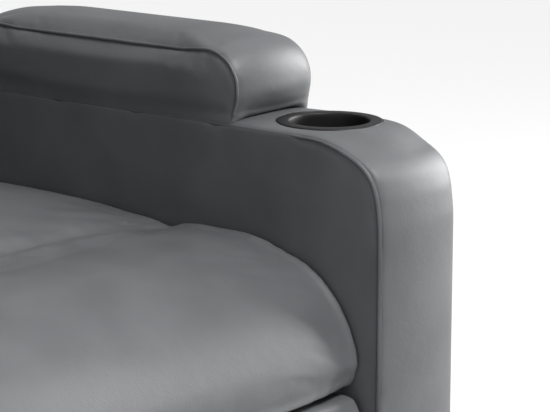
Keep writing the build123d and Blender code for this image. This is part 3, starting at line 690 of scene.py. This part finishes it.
armFacts = {
    "frontSeam": -438.5 * mm, "topSeam": 557 * mm, "rear": 339 * mm, "foot": 40.3 * mm, "frontBend": 97 * mm,
    "brow": ((0, 97), (0, 80), (3.4, 51), (8.8, 35), (16.8, 24.6), (30, 16.6), (55, 6.8), (75, 2.2), (97, 0)),
    "upper": 500 * mm, "rearBend": 30 * mm, "outerRoll": 27 * mm, "innerRound": 6 * mm,
    "frontCrown": 11 * mm, "topCrown": 3.7 * mm, "crownMiddle": 0.46, "crownHalf": 0.5, "crownPower": 2.2,
    "stripRows": (0.11, 0.17, 0.25, 0.36, 0.48, 0.6, 0.7), "rowSpacing": 24 * mm,
    "weltRadius": 2.5 * mm, "weltThin": 0.48, "weltLift": 1.5 * mm, "weltStart": -330 * mm,
    "weltFade": 80 * mm, "seamFold": 2.2 * mm, "seamWidth": 6 * mm, "seamPucker": 0.7 * mm,
    "puckerWave": 24 * mm,
    "cupX": 326.5 * mm, "cupY": -325 * mm, "cupHole": 41.9 * mm, "cupRecess": 53 * mm, "cupSeat": 557.4 * mm,
    "cupLift": 559.6 * mm, "cupNear": 54 * mm, "cupFar": 100 * mm, "cupInner": 40 * mm, "cupOuter": 30 * mm,
    "shaft": (-330 * mm, -220 * mm, 335 * mm), "shaftHole": 12 * mm, "cutDepth": 200 * mm,
}


def alongLine(points, share):
    # the point that lies that share of the way along a line of points
    runs = [math.dist(a, b) for a, b in zip(points, points[1:])]
    left = share * sum(runs)
    for run, a, b in zip(runs, points, points[1:]):
        if left <= run:
            return [p + (q - p) * left / run for p, q in zip(a, b)]
        left -= run
    return points[-1]


def bisectRows(obj, axis, places):
    for place in places:
        spot, normal = [0, 0, 0], [0, 0, 0]
        spot[axis], normal[axis] = place, 1
        editMode(obj)
        bpy.ops.mesh.select_all(action="SELECT")
        bpy.ops.mesh.bisect(plane_co=spot, plane_no=normal)
        objectMode()


def evenly(low, high, spacing):
    count = max(1, round((high - low) / spacing))
    return [low + (high - low) * i / count for i in range(1, count)]


def cutAway(obj, cutter):
    trim = obj.modifiers.new("cut", "BOOLEAN")
    trim.operation = "DIFFERENCE"
    trim.solver = "EXACT"
    trim.object = cutter
    activate(obj)
    bpy.ops.object.modifier_apply(modifier=trim.name)
    bpy.data.objects.remove(cutter)


def addCylinder(radius, depth, place, turn=(0, 0, 0)):
    deselectAll()
    bpy.ops.mesh.primitive_cylinder_add(vertices=72, radius=radius, depth=depth, location=place,
                                        rotation=turn)
    return bpy.context.active_object


def edgeStrand(obj, name, test):
    # a copy of the edges that pass the test, as a strand of its own
    pick(obj, "EDGE", test)
    bpy.ops.mesh.duplicate()
    bpy.ops.mesh.separate(type="SELECTED")
    objectMode()
    strand = [other for other in bpy.context.selected_objects if other is not obj][0]
    strand.name = name
    strand.data.materials.clear()
    return strand


def armCover(side, sign):
    facts = armFacts
    low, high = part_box(side + "_arm_cover")
    inner, outer = (low.x, high.x) if sign > 0 else (high.x, low.x)
    front, top, bend = facts["frontSeam"], facts["topSeam"], facts["frontBend"]
    obj = addCube(side + "ArmCover", (low.x, front, facts["foot"]), (high.x, facts["rear"], top))
    onSide = lambda mid, face: abs(mid.x - face) < 0.1 * mm and mid.z > facts["foot"] + mm
    isTop = lambda mid, way: abs(way.x) > 0.9 and mid.z > facts["upper"]
    pick(obj, "EDGE", lambda mid, way: isTop(mid, way) and mid.y < front + mm)
    bpy.ops.mesh.bevel(offset=bend, segments=18, affect="EDGES")
    objectMode()
    for vert in obj.data.vertices:  # the plain round becomes a long slope and a tight brow
        behind, below = vert.co.y - front, top - vert.co.z
        if behind < bend - 0.01 * mm and below < bend - 0.01 * mm:
            share = math.atan2(bend - below, bend - behind) / (math.pi / 2)
            reach, drop = alongLine(facts["brow"], share)
            vert.co.y, vert.co.z = front + reach * mm, top - drop * mm
    obj.data.update()
    pick(obj, "EDGE", lambda mid, way: isTop(mid, way) and mid.y > facts["rear"] - mm)
    bpy.ops.mesh.bevel(offset=facts["rearBend"], segments=6, affect="EDGES")
    objectMode()
    strand = edgeStrand(obj, side + "ArmWelt", lambda mid, way: onSide(mid, inner))
    pick(obj, "EDGE", lambda mid, way: onSide(mid, outer))
    bpy.ops.mesh.bevel(offset=facts["outerRoll"], segments=6, affect="EDGES", clamp_overlap=False)
    objectMode()
    pick(obj, "EDGE", lambda mid, way: onSide(mid, inner))
    bpy.ops.mesh.bevel(offset=facts["innerRound"], segments=4, affect="EDGES")
    objectMode()
    width = outer - inner
    bisectRows(obj, 0, [inner + width * share for share in facts["stripRows"]])
    bisectRows(obj, 2, [facts["foot"] + 3 * mm] + evenly(facts["foot"], top - bend, facts["rowSpacing"]))
    bisectRows(obj, 1, evenly(front + bend, facts["rear"] - facts["rearBend"], facts["rowSpacing"]))
    for vert in obj.data.vertices:
        across = (vert.co.x - inner) / width
        crown = max(0.0, 1 - abs((across - facts["crownMiddle"]) / facts["crownHalf"]) ** facts["crownPower"])
        ahead = within((front + bend - vert.co.y) / bend)
        up = within((vert.co.z - top + bend) / bend)
        vert.co.y -= facts["frontCrown"] * crown * ahead
        vert.co.z += facts["topCrown"] * crown * up
    obj.data.update()
    pick(obj, "EDGE", lambda mid, way: mid.z < facts["foot"] + 0.1 * mm)
    bpy.ops.transform.edge_crease(value=1.0)
    objectMode()
    subdivide(obj, 2)
    spot = (sign * facts["cupX"], facts["cupY"])
    for vert in obj.data.vertices:  # the top is held up to the rim of the cup holder
        away = math.dist(spot, vert.co.xy)
        near = within((facts["cupFar"] - away) / (facts["cupFar"] - facts["cupNear"]))
        edge = within(abs(vert.co.x - inner) / facts["cupInner"])
        edge *= within(abs(vert.co.x - outer) / facts["cupOuter"])
        if vert.co.z > facts["upper"]:
            vert.co.z += max(0.0, facts["cupLift"] - vert.co.z) * near * near * (3 - 2 * near) * edge
    obj.data.update()
    steps = 6
    seam = kdtree.KDTree(len(strand.data.edges) * steps)
    for edge in strand.data.edges:
        a, b = (strand.data.vertices[i].co for i in edge.vertices)
        for step in range(steps):
            seam.insert(a.lerp(b, step / steps), step)
    seam.balance()
    sewLine(obj, lambda co: (seam.find(co)[2], co.y + co.z), facts["seamFold"], facts["seamWidth"],
            facts["seamPucker"], facts["puckerWave"])
    lieOn(strand, obj, facts["weltLift"])

    def pipeShare(co):
        # full piping down the front, a thin cord along the top
        full = within((facts["weltStart"] - co.y) / facts["weltFade"])
        return facts["weltThin"] + (1 - facts["weltThin"]) * full

    roundStrand(strand, facts["weltRadius"], pipeShare)
    placePiece(strand, weltLeatherPaintedShade, "frame", "faux_leather")
    depth, recess = facts["cutDepth"], facts["cutDepth"] / 2
    cutAway(obj, addCylinder(facts["cupHole"], depth, (*spot, facts["cupSeat"])))
    cutAway(obj, addCylinder(facts["cupRecess"], recess, (*spot, facts["cupSeat"] + recess / 2)))
    if side == "right":
        cutAway(obj, addCylinder(facts["shaftHole"], depth, facts["shaft"], (0, math.pi / 2, 0)))
    smoothShade(obj, 40)
    placePiece(obj, leather, "frame", "padded_leather", side + "_arm_cover")


armCover("left", 1)
armCover("right", -1)


# cup holders: rings pulled out of a circle, down the bore and back up outside

cupFacts = {
    "flangeLow": 557.8 * mm, "corners": 96,  # rings are radius and height over the flange, in mm
    "outside": ((41.5, 0.0), (41.5, -74.0), (40.0, -79.5), (36.0, -81.4)),
    "inside": ((52.5, 0.0), (52.6, 1.4), (52.3, 2.2), (51.4, 2.7), (47.0, 2.9), (41.8, 2.8), (40.1, 2.3),
               (39.4, 0.8), (38.9, -4.0), (38.2, -72.0), (37.0, -76.5), (33.0, -78.6)),
    "floorInsets": (6 * mm, 12 * mm),
}


def pullRings(spot, height, rings):
    # extrudes the open edge through a list of radii and heights, then closes it
    for (radius, level), (nextRadius, nextLevel) in zip(rings, rings[1:]):
        bpy.ops.mesh.extrude_region_move(TRANSFORM_OT_translate={"value": (0, 0, (nextLevel - level) * mm)})
        share = nextRadius / radius
        bpy.ops.transform.resize(value=(share, share, 1), center_override=(*spot, height + nextLevel * mm))
    bpy.ops.mesh.edge_face_add()
    for inset in cupFacts["floorInsets"]:
        bpy.ops.mesh.inset(thickness=inset)


def cupHolder(side, sign):
    facts = cupFacts
    spot = (sign * armFacts["cupX"], armFacts["cupY"])
    deselectAll()
    bpy.ops.mesh.primitive_circle_add(vertices=facts["corners"], radius=facts["outside"][0][0] * mm,
                                      location=(*spot, facts["flangeLow"]))
    obj = bpy.context.active_object
    obj.name = side + "CupHolder"
    obj.data.name = obj.name
    bpy.ops.object.transform_apply(location=True, rotation=True, scale=True)
    editMode(obj)
    bpy.ops.mesh.select_all(action="SELECT")
    pullRings(spot, facts["flangeLow"], facts["outside"])
    objectMode()
    pick(obj, "EDGE", lambda mid, way: abs(mid.z - facts["flangeLow"]) < 0.01 * mm)  # the mouth
    pullRings(spot, facts["flangeLow"], (facts["outside"][0],) + facts["inside"])
    bpy.ops.mesh.select_all(action="SELECT")
    bpy.ops.mesh.normals_make_consistent(inside=False)
    objectMode()
    subdivide(obj, 1)
    activate(obj)
    bpy.ops.object.shade_smooth()
    placePiece(obj, cupPlastic, "frame", "black_plastic", side + "_cup_holder")


cupHolder("left", 1)
cupHolder("right", -1)


# outer back: a leather cover over the rear of the back frame, folded round onto the stiles in front

coverFacts = {
    "halfWidth": 255.6, "front": -15.8, "rear": 72.2, "low": -60.0, "wing": 138.0, "high": 700.0,
    "lip": 34.0, "rearRound": 26.0, "wall": 3.3, "row": 40.0, "slack": 4.0, "pipe": 2.2,
}


def leanBack(obj):
    obj.rotation_euler = (-lean, 0, 0)
    obj.location = backPivot
    activate(obj)
    bpy.ops.object.transform_apply(location=True, rotation=True, scale=True)


def backCover():
    facts = {key: value * mm for key, value in coverFacts.items()}
    half = facts["halfWidth"]
    obj = addCube("outerBackCover", (-half, facts["front"], facts["low"]),
                  (half, facts["rear"], facts["high"]))
    pick(obj, "EDGE", lambda mid, way: mid.y > facts["rear"] - mm
         and (abs(way.z) > 0.9 or mid.z > facts["high"] - mm))
    bpy.ops.mesh.bevel(offset=facts["rearRound"], segments=6, affect="EDGES")
    objectMode()
    bisectRows(obj, 2, [facts["wing"]]
               + evenly(facts["wing"], facts["high"] - facts["rearRound"], facts["row"]))
    bisectRows(obj, 0, [facts["lip"] - half, half - facts["lip"]])
    bisectRows(obj, 0, evenly(-half + facts["rearRound"], half - facts["rearRound"], facts["row"]))
    pick(obj, "FACE", lambda mid, normal: normal.z < -0.9
         or (normal.y < -0.9 and (abs(mid.x) < half - facts["lip"] or mid.z < facts["wing"]))
         or (mid.z < facts["wing"] and abs(normal.x) > 0.7))
    bpy.ops.mesh.delete(type="FACE")
    objectMode()
    subdivide(obj, 1, "SIMPLE")
    for vert in obj.data.vertices:  # the rear panel is a little slack between its edges
        if vert.co.y > facts["rear"] - 2 * mm:
            across = 1 - (vert.co.x / half) ** 2
            up = (vert.co.z - facts["low"]) / (facts["high"] - facts["low"])
            vert.co.y -= facts["slack"] * across * math.sin(math.pi * within(up))
    edge, crest = half - facts["rearRound"], facts["high"] - facts["rearRound"]
    piping = edgeStrand(obj, "outerBackPiping", lambda mid, way: mid.y > facts["rear"] - 2 * mm and (
        (abs(abs(mid.x) - edge) < 0.5 * mm and abs(way.z) > 0.9 and mid.z < crest)
        or (abs(mid.z - crest) < 0.5 * mm and abs(way.x) > 0.9 and abs(mid.x) < edge)))
    roundStrand(piping, facts["pipe"])
    leanBack(piping)
    placePiece(piping, weltLeatherPaintedShade, "backrest", "faux_leather")
    addWall(obj, facts["wall"])
    leanBack(obj)
    smoothShade(obj, 40)
    placePiece(obj, leather, "backrest", "padded_leather", "back_cover")


backCover()


# rear panel: the rail between the arms, wrapped in leather and quilted once across

panelFacts = {
    "round": 9.0, "crown": 3.0, "row": 22.0, "hem": 34.0, "hemDepth": 2.2, "hemWidth": 5.0, "clear": 0.4,
    "pucker": 0.8, "puckerWave": 16.0,
}


def rearPanel():
    facts = {key: value * mm for key, value in panelFacts.items()}
    low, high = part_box("rear_rail")
    obj = addCube("rearPanel", (low.x + facts["clear"], low.y + facts["clear"], low.z),
                  (high.x - facts["clear"], high.y, high.z))
    pick(obj, "EDGE", lambda mid, way: abs(way.x) > 0.9)
    bpy.ops.mesh.bevel(offset=facts["round"], segments=4, affect="EDGES")
    objectMode()
    hem = high.z - facts["hem"]
    bisectRows(obj, 0, evenly(low.x, high.x, facts["row"]))
    bisectRows(obj, 2, evenly(low.z + facts["round"], hem - facts["hemWidth"], facts["row"])
               + [hem + share * facts["hemWidth"] for share in (-1.5, -0.8, 0, 0.8, 1.5)])
    for vert in obj.data.vertices:
        if vert.co.y > high.y - facts["round"]:
            across = max(0.0, 1 - (vert.co.x / high.x) ** 4)
            up = (vert.co.z - low.z) / (high.z - low.z)
            vert.co.y += facts["crown"] * across * math.sin(math.pi * within(up)) ** 0.6
    obj.data.update()
    subdivide(obj, 2)
    sewLine(obj, lambda co: (abs(co.z - hem) if co.y > high.y - 2 * facts["round"] else None, co.x),
            facts["hemDepth"], facts["hemWidth"], facts["pucker"], facts["puckerWave"])
    smoothShade(obj, 40)
    placePiece(obj, leather, "frame", "faux_leather", "rear_rail")


rearPanel()


# side pocket: a sewn pouch on the left arm, open at the top, with a folded hem

pocketFacts = {
    "wall": 2.2, "hem": 18.0, "hemFold": 2.0, "hemOut": 1.4, "round": 9.0, "row": 5.0, "rowEdge": 10.0,
    "rowTop": 22.0, "face": 4.0, "stitch": 15.0, "stitchDepth": 0.9, "stitchWidth": 1.8, "pucker": 0.3,
    "puckerWave": 8.0,
}


def sidePocket():
    facts = {key: value * mm for key, value in pocketFacts.items()}
    low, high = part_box("side_pocket")
    hem = high.z - facts["hem"]
    obj = addCube("sidePocket", low, high)
    pick(obj, "EDGE", lambda mid, way: mid.x > high.x - mm and mid.z < high.z - mm)
    bpy.ops.mesh.bevel(offset=facts["round"], segments=4, affect="EDGES")
    objectMode()
    bisectRows(obj, 2, [hem, hem - facts["hemFold"]])
    pick(obj, "FACE", lambda mid, normal: normal.x < -0.9 or normal.z > 0.9)
    bpy.ops.mesh.delete(type="FACE")
    objectMode()
    bisectRows(obj, 1, evenly(low.y + facts["rowEdge"], high.y - facts["rowEdge"], facts["row"]))
    bisectRows(obj, 2, evenly(low.z + facts["rowEdge"], high.z - facts["rowTop"], facts["row"]))
    for vert in obj.data.vertices:  # the pouch is held in at its seams and the hem stands out a little
        if vert.co.x > high.x - mm and vert.co.z < hem:
            vert.co.x -= facts["hemOut"]
    addWall(obj, facts["wall"])
    subdivide(obj, 1)

    def stitchLine(co):
        # a seam runs round the pouch a little inside its edge, on the outer face
        if co.x < high.x - facts["face"] or co.z > hem:
            return None, 0
        return abs(min(co.y - low.y, high.y - co.y, co.z - low.z) - facts["stitch"]), co.y + co.z

    sewLine(obj, stitchLine, facts["stitchDepth"], facts["stitchWidth"], facts["pucker"], facts["puckerWave"])
    smoothShade(obj, 50)
    placePiece(obj, leather, "frame", "faux_leather", "side_pocket")


sidePocket()


# finishes of the solids that stay

finishes = {
    pine: ("left_arm_frame", "right_arm_frame", "seat_frame", "back_frame"),
    blackSteel: ("seat_cross_tubes", *(side + part for side in ("left", "right") for part in (
        "_side_plate", "_drive_link", "_follower_link", "_carrier_link", "_tilt_link", "_footrest_bracket",
        "_back_bracket"))),
    zincSteel: ("foot_screws", "frame_bolts", "follower_pivot_pins", "back_pivot_pins", "drive_shaft",
                "drive_link_pins", "carrier_pins", "footrest_pins", "footrest_screws", "back_screws",
                "seat_springs", "back_springs", "lumbar_left_rotor", "lumbar_right_rotor",
                "shoulder_left_rotor", "shoulder_right_rotor"),
    caseAbs: ("recline_lever", "lever_bezel", "control_box", "motor_housings", "handset_front",
              "handset_back"),
    footPolypropylene: ("feet",),
    buttonRubber: ("power_button", "mode_button", "heat_button"),
}
for material, names in finishes.items():
    for name in names:
        nodes[name].data.materials.clear()
        nodes[name].data.materials.append(material)
        smoothShade(nodes[name], 30)
print("solids finished")


# floor, light and camera

floorFacts = {"size": 40.0, "colour": "#f4f4f4", "roughness": 0.9, "whiteShare": 0.82}


def addFloor():
    deselectAll()
    bpy.ops.mesh.primitive_plane_add(size=floorFacts["size"], location=(0, 0, 0))
    floor = bpy.context.active_object
    floor.name = "studioFloor"
    material = bpy.data.materials.new("paleFloor")
    material.use_nodes = True
    tree = material.node_tree
    shader = tree.nodes["Principled BSDF"]
    shader.inputs["Base Color"].default_value = linear(floorFacts["colour"])
    shader.inputs["Roughness"].default_value = floorFacts["roughness"]
    path = addNode(tree, "ShaderNodeLightPath")
    seen = addNode(tree, "ShaderNodeMath", {"operation": "MAXIMUM"},
                   {0: path.outputs["Is Camera Ray"], 1: path.outputs["Is Glossy Ray"]})
    share = addNode(tree, "ShaderNodeMath", {"operation": "MULTIPLY"},
                    {0: seen.outputs["Value"], 1: floorFacts["whiteShare"]})
    glow = addNode(tree, "ShaderNodeEmission", None, {"Color": (1, 1, 1, 1), "Strength": 1.0})
    both = addNode(tree, "ShaderNodeMixShader", None,
                   {0: share.outputs["Value"], 1: shader.outputs["BSDF"], 2: glow.outputs["Emission"]})
    tree.links.new(both.outputs["Shader"], tree.nodes["Material Output"].inputs["Surface"])
    floor.data.materials.append(material)


lightFacts = {
    "sky": 0.42,
    "lamps": {  # place in metres, watts, width
        "sideLight": ((3.0, -1.2, 1.25), 124.0, 1.6),
        "frontLight": ((0.15, -1.95, 3.05), 108.0, 0.8),
        "fillLight": ((-3.0, -1.5, 1.65), 15.0, 2.0),
        "topLight": ((0.9, 0.5, 2.9), 14.0, 1.6),
    },
    "target": (0.1, -0.1, 0.45),
}


def addLights():
    for name, (place, power, size) in lightFacts["lamps"].items():
        data = bpy.data.lights.new(name, "AREA")
        data.energy = power
        data.size = size
        lamp = bpy.data.objects.new(name, data)
        scene.collection.objects.link(lamp)
        lamp.location = place
        toTarget = Vector(lightFacts["target"]) - Vector(place)
        lamp.rotation_euler = toTarget.to_track_quat("-Z", "Y").to_euler()
    world = bpy.data.worlds.new("studio")
    scene.world = world
    world.use_nodes = True
    tree = world.node_tree
    sky = tree.nodes["Background"]
    sky.inputs["Color"].default_value = (1, 1, 1, 1)
    path = addNode(tree, "ShaderNodeLightPath")
    strength = addNode(tree, "ShaderNodeMapRange", None,
                       {"Value": path.outputs["Is Camera Ray"], "To Min": lightFacts["sky"], "To Max": 1.0})
    tree.links.new(strength.outputs["Result"], sky.inputs["Strength"])


cameraFacts = {
    "place": (-1.419, -1.720, 0.961), "yaw": -50.0, "down": 12.3, "focalPixels": 2320.0, "imageWidth": 550.0,
}


def addCamera():
    data = bpy.data.cameras.new("camera")
    data.sensor_width = 36.0
    data.sensor_fit = "HORIZONTAL"
    data.lens = data.sensor_width * cameraFacts["focalPixels"] / cameraFacts["imageWidth"]
    camera = bpy.data.objects.new("camera", data)
    scene.collection.objects.link(camera)
    camera.location = cameraFacts["place"]
    camera.rotation_euler = (math.radians(90 - cameraFacts["down"]), 0, math.radians(cameraFacts["yaw"]))
    scene.camera = camera


addFloor()
addLights()
addCamera()
scene.view_settings.view_transform = "Standard"
print("stage set")
